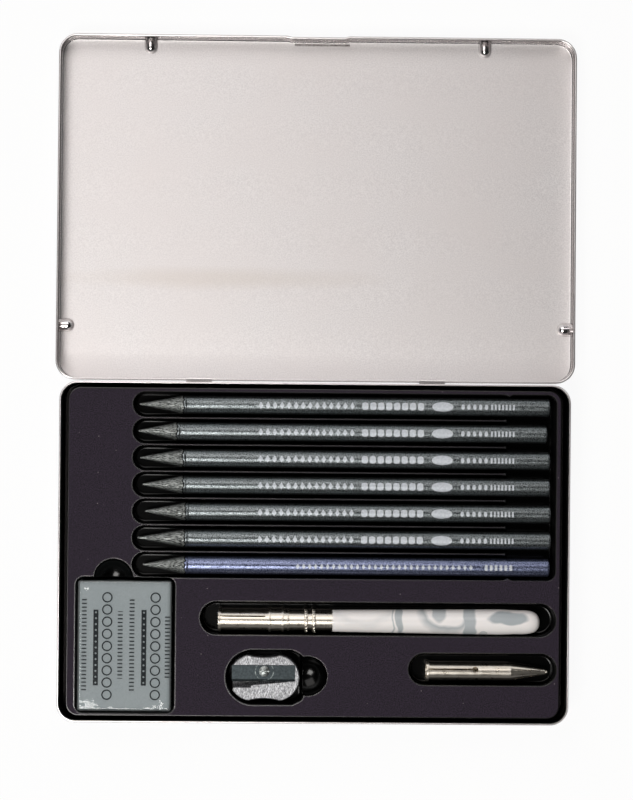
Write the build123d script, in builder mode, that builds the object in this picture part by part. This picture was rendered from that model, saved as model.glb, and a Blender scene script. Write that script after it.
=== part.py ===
from build123d import *
from math import asin, atan2, cos, hypot, radians, sin, tan
import os

os.makedirs("parts", exist_ok=True)

# Hinged tinplate case with a vacuum-formed insert, seven solid graphite pencils, a wrapped
# putty eraser, a pencil extender, a metal sharpener and a nickel point protector.
# Millimetres. X runs along the case, +Y towards the opened lid, +Z up. The origin is the
# centre of the base's underside. Everything is drawn as it lies with the lid laid open.

# Case, base and lid
sheet = 0.4
base_width = 218.5
base_depth = 145.5
base_height = 18.5
base_corner = 8.0
rim_width = 0.85
rim_depth = 2.2
rim_round = 0.35
foot_radius = 1.6
swage_width = 196.0
swage_depth = 123.0
swage_corner = 6.0
swage_band = 3.0
swage_rise = 0.5

lid_overhang = 1.75
lid_side_overhang = 2.35
lid_skirt = 9.6
lid_corner = 8.3
hem_radius = 0.55
notch_width = 23.0
notch_ramp = 1.8
notch_press = 0.5
notch_blend = 3.0
stop_radius = 2.7
stop_reach = 4.3
stop_front_x = 72.5
stop_side_y = 23.7
closed_gap = 0.05

# Hinge: two tongues of the base curl round the lid's wired edge
hinge_x = 50.0
tongue_width = 11.0
tongue_run = 4.5
knuckle_gap = 0.08
slot_gap = 0.17
slot_play = 0.3

# Insert
deck_width = 211.4
deck_depth = 140.6
deck_corner = 5.5
deck_below_rim = 1.8
deck_edge_radius = 0.6
tray_sheet = 0.6
skirt_draft = 4.0
skirt_lift = 0.1
pocket_draft = 2.5
lip_bevel = 0.35
floor_radius = 1.2
pocket_corner = 3.5
seat_gap = 0.05
bowl_radius = 8.5
bowl_depth = 6.3

# Pencils: where each point and each end lies, and how long each sharpened cone is
pencil_radius = 3.8
lacquer = 0.2
pencil_row_y = 63.0
pencil_pitch = 11.43
pencil_sink = 1.3
pencil_tips = (-75.2, -75.7, -74.7, -73.8, -72.6, -75.7, -73.3)
pencil_ends = (100.4, 99.3, 100.6, 100.7, 101.1, 101.2, 100.7)
pencil_cones = (18.7, 16.3, 18.0, 17.2, 17.2, 20.1, 17.8)
pencil_count = len(pencil_tips)
point_radius = 0.4
end_cap = 0.6
end_round = 0.9
groove_width = 10.4
groove_start = -77.7
well_start = 82.0
well_end = 103.2
well_depth = 10.6

# Eraser
eraser_x = -80.75
eraser_y = -40.4
eraser_width = 40.1
eraser_length = 55.7
eraser_height = 10.4
eraser_round = 2.4
film = 0.3
eraser_pocket_x = (-101.6, -59.4)
eraser_pocket_y = (-68.9, -11.0)
eraser_depth = 11.4
eraser_bowl = (-85.6, -11.5)

# Extender, on an axis along X
extender_y = -29.1
extender_pocket_x = (-48.4, 103.6)
extender_pocket_y = -28.1
extender_pocket_width = 13.8
extender_depth = 8.5
mouth_x = -40.8
mouth_flange = 1.15
mouth_radius = 4.75
jaw_radius = 4.12
jaw_bore = 3.85
jaw_floor = 1.0
jaw_slit = 0.7
jaw_turn = 28.0
jaw_slit_end = -20.6
shoulder_x = -11.2
shoulder_width = 0.8
shoulder_radius = 4.35
tail_radius = 3.5
tail_length = 9.0
ferrule_radius = 4.0
bead_x = (-3.2, 0.1)
bead_width = 1.5
bead_radius = 4.6
bead_root = 0.4
bead_round = 0.25
handle_x = 8.1
handle_end = 97.1
handle_front_radius = 4.7
handle_radius = 5.45
handle_full_x = 78.0
nose_x = 88.0
nose_radius = 5.15
spigot_radius = 3.2
spigot_length = 12.0
ring_x = -19.2
ring_length = 6.5
ring_flange = 1.0
ring_radius = 4.85
ring_waist = 4.45
ring_gap = 0.05

# Sharpener, drawn about the middle of its outline: two round lobes with a waist between
sharpener_x = -20.9
sharpener_y = -53.7
sharpener_height = 10.6
sharpener_depth = 11.9
lobe_x = 5.2
lobe_radius = 9.9
lobe_turn = 81.0
heel_turn = 33.0
grip_waist = 8.8
grip_round = 0.9
body_chamfer = 0.4
blade_length = 27.0
blade_width = 6.9
blade_thickness = 0.55
blade_x = -0.3
blade_y = 2.0
blade_bevel = 1.0
blade_edge_thickness = 0.15
seat_depth = 0.45
seat_play = 0.15
seat_overrun = 1.0
screw_x = 0.1
screw_y = 2.85
screw_radius = 1.2
screw_hole = 1.3
screw_head = 2.3
screw_dome = 0.9
screw_rim = 0.3
screw_length = 5.0
driver_slot = (0.55, 0.5)
cone_angle = 9.5
cone_reach = 24.0
cone_roof = 0.1
cone_blunt = 1.5
cone_overrun = 3.0
chip_wide = 2.8
chip_step = -5.6
chip_narrow = 1.8
chip_end = 12.0
chip_depth = 2.4
sharpener_pocket_end = -25.7
sharpener_pocket_y = -53.3
sharpener_pocket_radius = 11.6
sharpener_pocket_flat = -8.8
sharpener_pocket_neck = -4.4
sharpener_neck_half = 9.2
sharpener_pocket_round = 2.0
sharpener_bowl = (-2.4, -52.6)

# Point protector, on an axis along X
protector_y = -50.35
protector_pocket_x = (41.0, 104.0)
protector_pocket_y = -49.3
protector_pocket_width = 13.3
protector_depth = 6.8
cap_x = 48.5
cap_flange = 1.1
cap_flange_radius = 4.2
cap_radius = 3.45
cap_sheet = 0.35
cap_taper_x = 84.6
cap_tip_x = 99.6
cap_tip_radius = 1.1
ball_x = 100.1
ball_radius = 0.75
keyhole_x = 69.4
keyhole_radius = 1.3
keyhole_slit = 0.8
keyhole_turn = 20.0
leaf_count = 4
leaf_slit = 0.4
leaf_start = 86.0
leaf_end = 97.5

# Worked out from the above
lid_width = base_width + 2 * lid_side_overhang
lid_depth = base_depth + 2 * lid_overhang
closed_top = base_height + closed_gap + stop_radius + sheet
hinge_y = base_depth / 2 + lid_overhang - hem_radius
hinge_z = closed_top - lid_skirt + hem_radius
panel_drop = closed_top - hinge_z
lid_front = lid_depth - hem_radius
lid_middle = lid_front - lid_depth / 2
# The lid falls back past flat until the far edge of its panel meets the table
corner_reach = lid_front - foot_radius
corner_drop = panel_drop - foot_radius
open_tilt = asin((hinge_z - foot_radius) / hypot(corner_reach, corner_drop)) - atan2(
    corner_drop, corner_reach
)
lid_frame = Plane(
    origin=(0, hinge_y, hinge_z), x_dir=(1, 0, 0), z_dir=(0, sin(open_tilt), cos(open_tilt))
)
lid_up = Axis(lid_frame.origin, lid_frame.z_dir)
knuckle_inner = hem_radius + knuckle_gap
knuckle_outer = knuckle_inner + sheet
deck_top = base_height - deck_below_rim
pencil_z = deck_top - pencil_sink
groove_depth = pencil_sink + pencil_radius + seat_gap
extender_z = deck_top - extender_depth + handle_radius + seat_gap
protector_z = deck_top - protector_depth + cap_flange_radius + seat_gap


def save(piece, name):
    """Label a finished piece and write it under its own name."""
    piece.label = name
    export_step(piece, f"parts/{name}.step")


def span(low_high):
    """Middle and length of a stretch given by its two ends."""
    low, high = low_high
    return (low + high) / 2, high - low


def swage_ring(grow):
    """Plan of the shallow stiffening ring pressed up in the bottom, widened by grow."""
    with BuildSketch() as ring:
        for inset, mode in ((-grow, Mode.ADD), (swage_band + grow, Mode.SUBTRACT)):
            RectangleRounded(
                swage_width - 2 * inset, swage_depth - 2 * inset, swage_corner - inset, mode=mode
            )
    return ring.sketch


# Base tray: a drawn pan with a rolled rim and a stiffening ring pressed in its bottom
with BuildPart() as base_cavity:
    with BuildSketch(Plane.XY.offset(sheet)):
        RectangleRounded(base_width - 2 * sheet, base_depth - 2 * sheet, base_corner - sheet)
    extrude(amount=base_height)
    fillet(base_cavity.faces().sort_by(Axis.Z)[0].edges(), foot_radius - sheet)

with BuildPart() as base_tray:
    with BuildSketch():
        RectangleRounded(base_width, base_depth, base_corner)
    extrude(amount=base_height)
    fillet(base_tray.faces().sort_by(Axis.Z)[0].edges(), foot_radius)
    add(base_cavity.part, mode=Mode.SUBTRACT)
    with BuildSketch(Plane.XY.offset(base_height - rim_depth)):
        RectangleRounded(base_width, base_depth, base_corner)
        RectangleRounded(
            base_width - 2 * rim_width,
            base_depth - 2 * rim_width,
            base_corner - rim_width,
            mode=Mode.SUBTRACT,
        )
    extrude(amount=rim_depth)
    fillet(base_tray.faces().sort_by(Axis.Z)[-1].edges(), rim_round)
    with BuildSketch(Plane.XY.offset(sheet)):
        add(swage_ring(sheet))
    extrude(amount=swage_rise)
    with BuildSketch():
        add(swage_ring(0))
    extrude(amount=swage_rise, mode=Mode.SUBTRACT)
    # The window that each tongue was cut from
    with Locations(
        *[(x, base_depth / 2, hinge_z + knuckle_inner - tongue_run / 2) for x in (-hinge_x, hinge_x)]
    ):
        Box(tongue_width, 4 * sheet, tongue_run, mode=Mode.SUBTRACT)
    # The tongue, out over the lid's edge and curled down round it
    for x in (-hinge_x, hinge_x):
        knuckle_plane = Plane(
            origin=(x - tongue_width / 2, hinge_y, hinge_z), x_dir=(0, 1, 0), z_dir=(1, 0, 0)
        )
        tongue_reach = hinge_y - base_depth / 2 + sheet
        with BuildSketch(knuckle_plane):
            Circle(knuckle_outer)
            Circle(knuckle_inner, mode=Mode.SUBTRACT)
            with Locations((-knuckle_outer, 0)):
                Rectangle(2 * sheet + knuckle_inner, knuckle_inner, mode=Mode.SUBTRACT)
            with Locations((-tongue_reach / 2, (knuckle_inner + knuckle_outer) / 2)):
                Rectangle(tongue_reach, sheet)
        extrude(amount=tongue_width)
save(base_tray.part, "base_tray")


def lid_outline(inset):
    """The lid's plan with its pressed thumb notch, drawn smaller all round by inset."""
    half = notch_width / 2
    with BuildSketch() as outline:
        with Locations((0, lid_middle)):
            RectangleRounded(lid_width, lid_depth, lid_corner)
        with BuildLine():
            Polyline(
                (-half - notch_ramp, lid_front),
                (-half, lid_front - notch_press),
                (half, lid_front - notch_press),
                (half + notch_ramp, lid_front),
                (half + notch_ramp, lid_front + notch_press),
                (-half - notch_ramp, lid_front + notch_press),
                close=True,
            )
        make_face(mode=Mode.SUBTRACT)
        notch_ends = outline.vertices().filter_by(
            lambda v: abs(v.X) < notch_width and v.Y > lid_middle
        )
        fillet(notch_ends, notch_blend)
        if inset:
            offset(amount=-inset)
    return outline.sketch


def stop_beads(radius, reach):
    """Solid form of the four pressed stops: a half-round ridge from the wall with a domed end."""
    side_x = lid_width / 2 - stop_reach
    front_y = lid_front - stop_reach
    side_y = stop_side_y - hem_radius
    sites = (
        (-stop_front_x, front_y, 90),
        (stop_front_x, front_y, 90),
        (-side_x, side_y, 180),
        (side_x, side_y, 0),
    )
    with BuildPart(lid_frame) as beads:
        with Locations(
            *[Location((x, y, sheet - panel_drop), (0, 0, turn)) for x, y, turn in sites]
        ):
            Sphere(radius)
            Cylinder(
                radius, reach, rotation=(0, 90, 0), align=(Align.CENTER, Align.CENTER, Align.MIN)
            )
    return beads.part


# Lid: a drawn cover with a wired hem, slotted where the base's tongues pass through
with BuildPart() as lid_cavity:
    with BuildSketch(lid_frame.offset(sheet - panel_drop)):
        add(lid_outline(sheet))
    extrude(amount=lid_skirt)
    fillet(lid_cavity.faces().sort_by(lid_up)[0].edges(), foot_radius - sheet)

with BuildPart() as stop_forms:
    add(stop_beads(stop_radius, stop_reach))
    add(lid_cavity.part, mode=Mode.INTERSECT)

with BuildPart() as lid:
    with BuildSketch(lid_frame.offset(-panel_drop)):
        add(lid_outline(0))
    extrude(amount=panel_drop)
    fillet(lid.faces().sort_by(lid_up)[0].edges(), foot_radius)
    add(lid_cavity.part, mode=Mode.SUBTRACT)
    with Locations(*[Location((x, hinge_y, hinge_z), (0, 90, 0)) for x in (-hinge_x, hinge_x)]):
        Cylinder(knuckle_outer + slot_gap, tongue_width + 2 * slot_play, mode=Mode.SUBTRACT)
    hem_path = lid_frame * lid_outline(hem_radius).wires()[0]
    with BuildSketch(Plane(origin=hem_path @ 0, z_dir=hem_path % 0)):
        Circle(hem_radius)
    sweep(path=hem_path)
    add(stop_forms.part)
    add(stop_beads(stop_radius - sheet, stop_reach + stop_radius), mode=Mode.SUBTRACT)
save(lid.part, "lid")

# Insert: plan of each pocket at deck level, with how deep it goes
with BuildSketch() as eraser_plan:
    eraser_mid_x, eraser_span_x = span(eraser_pocket_x)
    eraser_mid_y, eraser_span_y = span(eraser_pocket_y)
    with Locations((eraser_mid_x, eraser_mid_y)):
        RectangleRounded(eraser_span_x, eraser_span_y, pocket_corner)

with BuildSketch() as extender_plan:
    extender_mid, extender_span = span(extender_pocket_x)
    with Locations((extender_mid, extender_pocket_y)):
        SlotOverall(extender_span, extender_pocket_width)

with BuildSketch() as protector_plan:
    protector_mid, protector_span = span(protector_pocket_x)
    with Locations((protector_mid, protector_pocket_y)):
        SlotOverall(protector_span, protector_pocket_width)

with BuildSketch() as sharpener_plan:
    top = sharpener_pocket_y + sharpener_pocket_radius
    bottom = sharpener_pocket_y - sharpener_pocket_radius
    with Locations((sharpener_pocket_end, sharpener_pocket_y)):
        Circle(sharpener_pocket_radius)
    with BuildLine():
        Polyline(
            (sharpener_pocket_end, top),
            (sharpener_pocket_flat, top),
            (sharpener_pocket_neck, sharpener_pocket_y + sharpener_neck_half),
            (sharpener_pocket_neck, sharpener_pocket_y - sharpener_neck_half),
            (sharpener_pocket_flat, bottom),
            (sharpener_pocket_end, bottom),
            close=True,
        )
    make_face()
    fillet(sharpener_plan.vertices().sort_by(Axis.X)[-4:], sharpener_pocket_round)

with BuildSketch() as well_plan:
    well_top = pencil_row_y + groove_width / 2
    well_bottom = pencil_row_y - (pencil_count - 1) * pencil_pitch - groove_width / 2
    with Locations(((well_start + well_end) / 2, (well_top + well_bottom) / 2)):
        RectangleRounded(well_end - well_start, well_top - well_bottom, pocket_corner)

groove_plans = []
for row in range(pencil_count):
    with BuildSketch() as groove_plan:
        groove_stop = well_start + pocket_corner
        with Locations(((groove_start + groove_stop) / 2, pencil_row_y - row * pencil_pitch)):
            SlotOverall(groove_stop - groove_start, groove_width)
    groove_plans.append((groove_plan.sketch, groove_depth))

pocket_plans = [
    (eraser_plan.sketch, eraser_depth),
    (extender_plan.sketch, extender_depth),
    (protector_plan.sketch, protector_depth),
    (sharpener_plan.sketch, sharpener_depth),
    (well_plan.sketch, well_depth),
] + groove_plans


def pocket(plan, depth, grow):
    """A pocket's drafted bucket, grown all round for the outside of its wall."""
    with BuildPart() as bucket:
        with BuildSketch(Plane.XY.offset(deck_top)):
            add(plan)
            if grow:
                offset(amount=grow)
        extrude(amount=-(depth + grow), taper=pocket_draft)
        fillet(bucket.faces().sort_by(Axis.Z)[0].edges(), floor_radius)
    return bucket.part


def lip(plan):
    """The bevel that leads the deck over into a pocket."""
    with BuildPart() as bevel:
        with BuildSketch(Plane.XY.offset(deck_top)):
            add(plan)
            offset(amount=lip_bevel)
        extrude(amount=-lip_bevel, taper=45)
    return bevel.part


def bowl(centre, grow):
    """A finger bowl: the part of a sphere under the deck, grown for the outside of its wall."""
    sphere_radius = (bowl_radius**2 + bowl_depth**2) / (2 * bowl_depth)
    with BuildPart() as dish:
        with Locations((*centre, deck_top + sphere_radius - bowl_depth)):
            Sphere(sphere_radius + grow)
        split(bisect_by=Plane.XY.offset(deck_top), keep=Keep.BOTTOM)
    return dish.part


with BuildPart() as insert_tray:
    foot_z = sheet + skirt_lift
    with BuildSketch(Plane.XY.offset(deck_top)):
        RectangleRounded(deck_width, deck_depth, deck_corner)
    extrude(amount=-(deck_top - foot_z), taper=-skirt_draft)
    fillet(insert_tray.faces().sort_by(Axis.Z)[-1].edges(), deck_edge_radius)
    with BuildSketch(Plane.XY.offset(deck_top - tray_sheet)):
        RectangleRounded(
            deck_width - 2 * tray_sheet, deck_depth - 2 * tray_sheet, deck_corner - tray_sheet
        )
    extrude(amount=-(deck_top - foot_z), taper=-skirt_draft, mode=Mode.SUBTRACT)
    for plan, depth in pocket_plans:
        add(pocket(plan, depth, tray_sheet))
    for centre in (eraser_bowl, sharpener_bowl):
        add(bowl(centre, tray_sheet))
    for plan, depth in pocket_plans:
        add(pocket(plan, depth, 0), mode=Mode.SUBTRACT)
    for centre in (eraser_bowl, sharpener_bowl):
        add(bowl(centre, 0), mode=Mode.SUBTRACT)
    for plan, depth in pocket_plans:
        add(lip(plan), mode=Mode.SUBTRACT)
save(insert_tray.part, "insert_tray")


def pencil(row):
    """One solid graphite pencil: the bare core and the lacquer coat over its barrel and end."""
    tip, end = pencil_tips[row], pencil_ends[row]
    cone = pencil_cones[row]
    core_radius = pencil_radius - lacquer
    slope = (pencil_radius - point_radius) / cone
    core_cone = (core_radius - point_radius) / slope
    axis_y = pencil_row_y - row * pencil_pitch
    section = Plane(origin=(0, axis_y, pencil_z), x_dir=(1, 0, 0), z_dir=(0, -1, 0))
    spin = Axis((0, axis_y, pencil_z), (1, 0, 0))
    with BuildPart() as core:
        with BuildSketch(section):
            with BuildLine():
                blunt = ThreePointArc(
                    (tip, 0),
                    (tip + point_radius * (1 - cos(radians(45))), point_radius * sin(radians(45))),
                    (tip + point_radius, point_radius),
                )
                Polyline(
                    blunt @ 1,
                    (tip + core_cone, core_radius),
                    (end - end_cap, core_radius),
                    (end - end_cap, 0),
                    blunt @ 0,
                )
            make_face()
        revolve(axis=spin)
    with BuildPart() as coat:
        with BuildSketch(section):
            with BuildLine():
                rounding = CenterArc(
                    (end - end_round, pencil_radius - end_round), end_round, 0, 90
                )
                Polyline(
                    rounding @ 0,
                    (end, 0),
                    (end - end_cap, 0),
                    (end - end_cap, core_radius),
                    (tip + core_cone, core_radius),
                    (tip + cone, pencil_radius),
                    rounding @ 1,
                )
            make_face()
        revolve(axis=spin)
    save(core.part, f"pencil_{row + 1}_graphite")
    save(coat.part, f"pencil_{row + 1}_lacquer")


for row in range(pencil_count):
    pencil(row)

# Eraser: a slab of putty in a clear film wrap
eraser_z = deck_top - eraser_depth + seat_gap + eraser_height / 2
with BuildPart() as eraser_putty:
    with Locations((eraser_x, eraser_y, eraser_z)):
        Box(eraser_width - 2 * film, eraser_length - 2 * film, eraser_height - 2 * film)
    fillet(eraser_putty.edges(), eraser_round - film)
save(eraser_putty.part, "eraser_putty")

with BuildPart() as eraser_wrap:
    with Locations((eraser_x, eraser_y, eraser_z)):
        Box(eraser_width, eraser_length, eraser_height)
    fillet(eraser_wrap.edges(), eraser_round)
    add(eraser_putty.part, mode=Mode.SUBTRACT)
save(eraser_wrap.part, "eraser_wrap")

# Extender: handle, ferrule and split jaws in line, with the clamping ring free to slide
extender_section = Plane(origin=(0, extender_y, extender_z), x_dir=(1, 0, 0), z_dir=(0, -1, 0))
extender_spin = Axis((0, extender_y, extender_z), (1, 0, 0))

with BuildPart() as extender_handle:
    with BuildSketch(extender_section):
        with BuildLine():
            swell = Line((handle_x, handle_front_radius), (handle_full_x, handle_radius))
            shoulder = Spline(
                swell @ 1,
                (nose_x, nose_radius),
                (handle_end, 0),
                tangents=((1, 0), (0, -1)),
            )
            Polyline(
                shoulder @ 1,
                (handle_x + spigot_length, 0),
                (handle_x + spigot_length, spigot_radius),
                (handle_x, spigot_radius),
                swell @ 0,
            )
        make_face()
    revolve(axis=extender_spin)
save(extender_handle.part, "extender_handle")

with BuildPart() as extender_ferrule:
    with BuildSketch(extender_section):
        with BuildLine():
            Polyline(
                (shoulder_x, tail_radius),
                (shoulder_x, shoulder_radius),
                (shoulder_x + shoulder_width, shoulder_radius),
                (shoulder_x + shoulder_width, ferrule_radius),
                (handle_x, ferrule_radius),
                (handle_x, spigot_radius),
                (handle_x + spigot_length, spigot_radius),
                (handle_x + spigot_length, 0),
                (shoulder_x + tail_length, 0),
                (shoulder_x + tail_length, tail_radius),
                close=True,
            )
        make_face()
        with Locations(*[(x, ferrule_radius / 2 + bead_radius / 2) for x in bead_x]):
            RectangleRounded(bead_width, bead_radius - ferrule_radius + bead_root, bead_round)
    revolve(axis=extender_spin)
save(extender_ferrule.part, "extender_ferrule")

with BuildPart() as extender_jaws:
    with BuildSketch(extender_section):
        with BuildLine():
            Polyline(
                (mouth_x, jaw_bore),
                (mouth_x, mouth_radius),
                (mouth_x + mouth_flange, mouth_radius),
                (mouth_x + mouth_flange, jaw_radius),
                (shoulder_x, jaw_radius),
                (shoulder_x, tail_radius),
                (shoulder_x + tail_length, tail_radius),
                (shoulder_x + tail_length, 0),
                (shoulder_x - jaw_floor, 0),
                (shoulder_x - jaw_floor, jaw_bore),
                close=True,
            )
        make_face()
    revolve(axis=extender_spin)
    slit_length = jaw_slit_end - mouth_x
    with Locations(
        Location((mouth_x + slit_length / 2, extender_y, extender_z), (-jaw_turn, 0, 0))
    ):
        Box(slit_length, jaw_slit, 4 * jaw_radius, mode=Mode.SUBTRACT)
save(extender_jaws.part, "extender_jaws")

with BuildPart() as extender_ring:
    with BuildSketch(extender_section):
        with BuildLine():
            Polyline(
                (ring_x, jaw_radius + ring_gap),
                (ring_x, ring_radius),
                (ring_x + ring_flange, ring_radius),
                (ring_x + ring_flange, ring_waist),
                (ring_x + ring_length - ring_flange, ring_waist),
                (ring_x + ring_length - ring_flange, ring_radius),
                (ring_x + ring_length, ring_radius),
                (ring_x + ring_length, jaw_radius + ring_gap),
                close=True,
            )
        make_face()
    revolve(axis=extender_spin)
save(extender_ring.part, "extender_ring")

# Sharpener: a block with concave finger grips, its blade and the screw that holds it
sharpener_base = deck_top - sharpener_depth + seat_gap
sharpener_top = sharpener_base + sharpener_height
seat_z = sharpener_top - seat_depth
blade_edge = blade_y - blade_width / 2
heel_x = -lobe_x - lobe_radius * cos(radians(heel_turn))


def sharpener_level(height):
    """A level sketch plane through the middle of the sharpener."""
    return Plane((sharpener_x, sharpener_y, height))


# The bored cone leans so that its upper side runs level, just under the blade
cone_apex = Vector(sharpener_x + heel_x + cone_reach, sharpener_y + blade_edge, seat_z - cone_roof)
cone_lean = radians(cone_angle)
cone_axis = Vector(-cos(cone_lean), 0, -sin(cone_lean))
cone_length = cone_reach + cone_overrun

with BuildPart() as sharpener_body:
    with BuildSketch(sharpener_level(sharpener_base)) as grip_outline:
        with BuildLine():
            nose = CenterArc((lobe_x, 0), lobe_radius, -lobe_turn, 2 * lobe_turn)
            heel_arc = lobe_turn - heel_turn
            heel = CenterArc((-lobe_x, 0), lobe_radius, 180 - lobe_turn, heel_arc)
            toe = CenterArc((-lobe_x, 0), lobe_radius, 180 + heel_turn, heel_arc)
            ThreePointArc(nose @ 1, (0, grip_waist), heel @ 0)
            ThreePointArc(nose @ 0, (0, -grip_waist), toe @ 1)
            Line(heel @ 1, toe @ 0)
        make_face()
        fillet(grip_outline.vertices(), grip_round)
    extrude(amount=sharpener_height)
    chamfer(sharpener_body.faces().filter_by(Plane.XY).edges(), body_chamfer)
    # Seat for the blade, open at the heel
    seat_end = blade_x + blade_length / 2 + seat_play
    seat_start = heel_x - seat_overrun
    with BuildSketch(sharpener_level(sharpener_top)):
        with Locations(((seat_start + seat_end) / 2, blade_y + seat_play / 2)):
            Rectangle(seat_end - seat_start, blade_width + seat_play)
    extrude(amount=-seat_depth, mode=Mode.SUBTRACT)
    # Slot beside the cutting edge, where the shavings come out
    with BuildSketch(sharpener_level(sharpener_top)):
        with BuildLine():
            Polyline(
                (seat_start, blade_edge),
                (seat_start, blade_edge - chip_wide),
                (chip_step, blade_edge - chip_wide),
                (chip_step, blade_edge - chip_narrow),
                (chip_end, blade_edge),
                close=True,
            )
        make_face()
    extrude(amount=-chip_depth, mode=Mode.SUBTRACT)
    with BuildSketch(Plane(origin=cone_apex, x_dir=cone_axis, z_dir=(0, 1, 0))):
        with BuildLine():
            Polyline(
                (cone_blunt, 0),
                (cone_length, 0),
                (cone_length, cone_length * tan(cone_lean)),
                (cone_blunt, cone_blunt * tan(cone_lean)),
                close=True,
            )
        make_face()
    revolve(axis=Axis(cone_apex, cone_axis), mode=Mode.SUBTRACT)
    with Locations((sharpener_x + screw_x, sharpener_y + screw_y, seat_z)):
        Hole(screw_hole, screw_length)
save(sharpener_body.part, "sharpener_body")

with BuildPart() as sharpener_blade:
    with BuildSketch(sharpener_level(seat_z)):
        with Locations((blade_x, blade_y)):
            Rectangle(blade_length, blade_width)
        with Locations((screw_x, screw_y)):
            Circle(screw_hole, mode=Mode.SUBTRACT)
    extrude(amount=blade_thickness)
    cutting_side = sharpener_blade.faces().sort_by(Axis.Y)[0]
    chamfer(
        cutting_side.edges().sort_by(Axis.Z)[-1],
        length=blade_thickness - blade_edge_thickness,
        length2=blade_bevel,
        reference=cutting_side,
    )
save(sharpener_blade.part, "sharpener_blade")

with BuildPart() as sharpener_screw:
    with BuildSketch(Plane.XZ.offset(-sharpener_y - screw_y)):
        with BuildLine():
            head_z = seat_z + blade_thickness
            shank_side = sharpener_x + screw_x + screw_radius
            head_side = sharpener_x + screw_x + screw_head
            screw_end = seat_z - screw_length + seat_gap
            Polyline(
                (sharpener_x + screw_x, head_z + screw_dome),
                (sharpener_x + screw_x, screw_end),
                (shank_side, screw_end),
                (shank_side, head_z),
                (head_side, head_z),
                (head_side, head_z + screw_rim),
            )
            TangentArc(
                (sharpener_x + screw_x, head_z + screw_dome),
                (head_side, head_z + screw_rim),
                tangent=(1, 0),
            )
        make_face()
    revolve(axis=Axis((sharpener_x + screw_x, sharpener_y + screw_y, 0), (0, 0, 1)))
    with Locations(
        (sharpener_x + screw_x, sharpener_y + screw_y, head_z + screw_dome - driver_slot[1] / 2)
    ):
        Box(3 * screw_head, *driver_slot, mode=Mode.SUBTRACT)
save(sharpener_screw.part, "sharpener_screw")

# Point protector: a flanged tube, slit to a keyhole, with leaves drawn in to a beaded tip
cap_section = Plane(origin=(0, protector_y, protector_z), x_dir=(1, 0, 0), z_dir=(0, -1, 0))
cap_spin = Axis((0, protector_y, protector_z), (1, 0, 0))
cap_bore = cap_radius - cap_sheet
with BuildPart() as point_protector:
    with BuildSketch(cap_section):
        with BuildLine():
            Polyline(
                (cap_x, cap_bore),
                (cap_x, cap_flange_radius),
                (cap_x + cap_flange, cap_flange_radius),
                (cap_x + cap_flange, cap_radius),
                (cap_taper_x, cap_radius),
                (cap_tip_x, cap_tip_radius),
                (cap_tip_x, 0),
                (cap_tip_x - cap_sheet, 0),
                (cap_tip_x - cap_sheet, cap_tip_radius - cap_sheet),
                (cap_taper_x, cap_bore),
                close=True,
            )
        make_face()
    revolve(axis=cap_spin)
    with Locations((ball_x, protector_y, protector_z)):
        Sphere(ball_radius)
    for turn in range(leaf_count):
        leaf_middle = (leaf_start + leaf_end) / 2
        with Locations(
            Location(
                (leaf_middle, protector_y, protector_z),
                (keyhole_turn + 45 + turn * 360 / leaf_count, 0, 0),
            )
        ):
            Box(
                leaf_end - leaf_start,
                leaf_slit,
                2 * cap_radius,
                align=(Align.CENTER, Align.CENTER, Align.MIN),
                mode=Mode.SUBTRACT,
            )
    with Locations(Location((keyhole_x, protector_y, protector_z), (-keyhole_turn, 0, 0))):
        Cylinder(
            keyhole_radius,
            2 * cap_radius,
            align=(Align.CENTER, Align.CENTER, Align.MIN),
            mode=Mode.SUBTRACT,
        )
        Box(
            keyhole_x - cap_x,
            keyhole_slit,
            2 * cap_radius,
            align=(Align.MAX, Align.CENTER, Align.MIN),
            mode=Mode.SUBTRACT,
        )
save(point_protector.part, "point_protector")
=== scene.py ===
from math import cos, exp, pi, radians, sin
from random import Random

import bmesh
import bpy
from mathutils import Matrix, Vector, noise


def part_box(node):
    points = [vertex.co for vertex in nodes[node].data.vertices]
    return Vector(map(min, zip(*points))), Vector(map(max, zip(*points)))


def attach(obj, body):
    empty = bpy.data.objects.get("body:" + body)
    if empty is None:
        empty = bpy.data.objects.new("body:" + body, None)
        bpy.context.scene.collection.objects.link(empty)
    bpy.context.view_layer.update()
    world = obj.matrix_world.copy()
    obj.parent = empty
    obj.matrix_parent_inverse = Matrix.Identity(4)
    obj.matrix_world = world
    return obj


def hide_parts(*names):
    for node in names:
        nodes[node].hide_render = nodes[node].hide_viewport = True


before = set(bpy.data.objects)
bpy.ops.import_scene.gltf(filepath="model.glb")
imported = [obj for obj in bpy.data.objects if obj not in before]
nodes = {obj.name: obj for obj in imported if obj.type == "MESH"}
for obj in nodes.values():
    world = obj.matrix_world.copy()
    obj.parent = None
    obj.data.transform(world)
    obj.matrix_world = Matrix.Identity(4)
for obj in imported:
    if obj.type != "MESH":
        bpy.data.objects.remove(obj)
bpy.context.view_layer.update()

# The photograph's view: the camera hangs a metre above the opened tin and looks straight down,
# with the tin turned half a degree in the frame.

mm = 0.001
camera_place = Vector((-17.5, 62.5, 1046.0)) * mm
camera_aim = Vector((0.66, 65.52, 0.0)) * mm
camera_roll = radians(0.54)


def add_object(name, data):
    """Put new data in the scene as an object of this name."""
    item = bpy.data.objects.new(name, data)
    bpy.context.scene.collection.objects.link(item)
    return item


camera = bpy.data.cameras.new("camera")
camera.sensor_fit = "HORIZONTAL"
camera.sensor_width = 36.0
camera.lens = 136.9
camera.clip_start = 0.01
camera_holder = add_object("camera", camera)
straight_down = Vector((0, 0, -1))
look = straight_down.rotation_difference(camera_aim - camera_place).to_matrix().to_4x4()
camera_holder.matrix_world = (
    Matrix.Translation(camera_place) @ look @ Matrix.Rotation(camera_roll, 4, "Z")
)
bpy.context.scene.camera = camera_holder
bpy.context.scene.view_settings.view_transform = "Standard"

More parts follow.
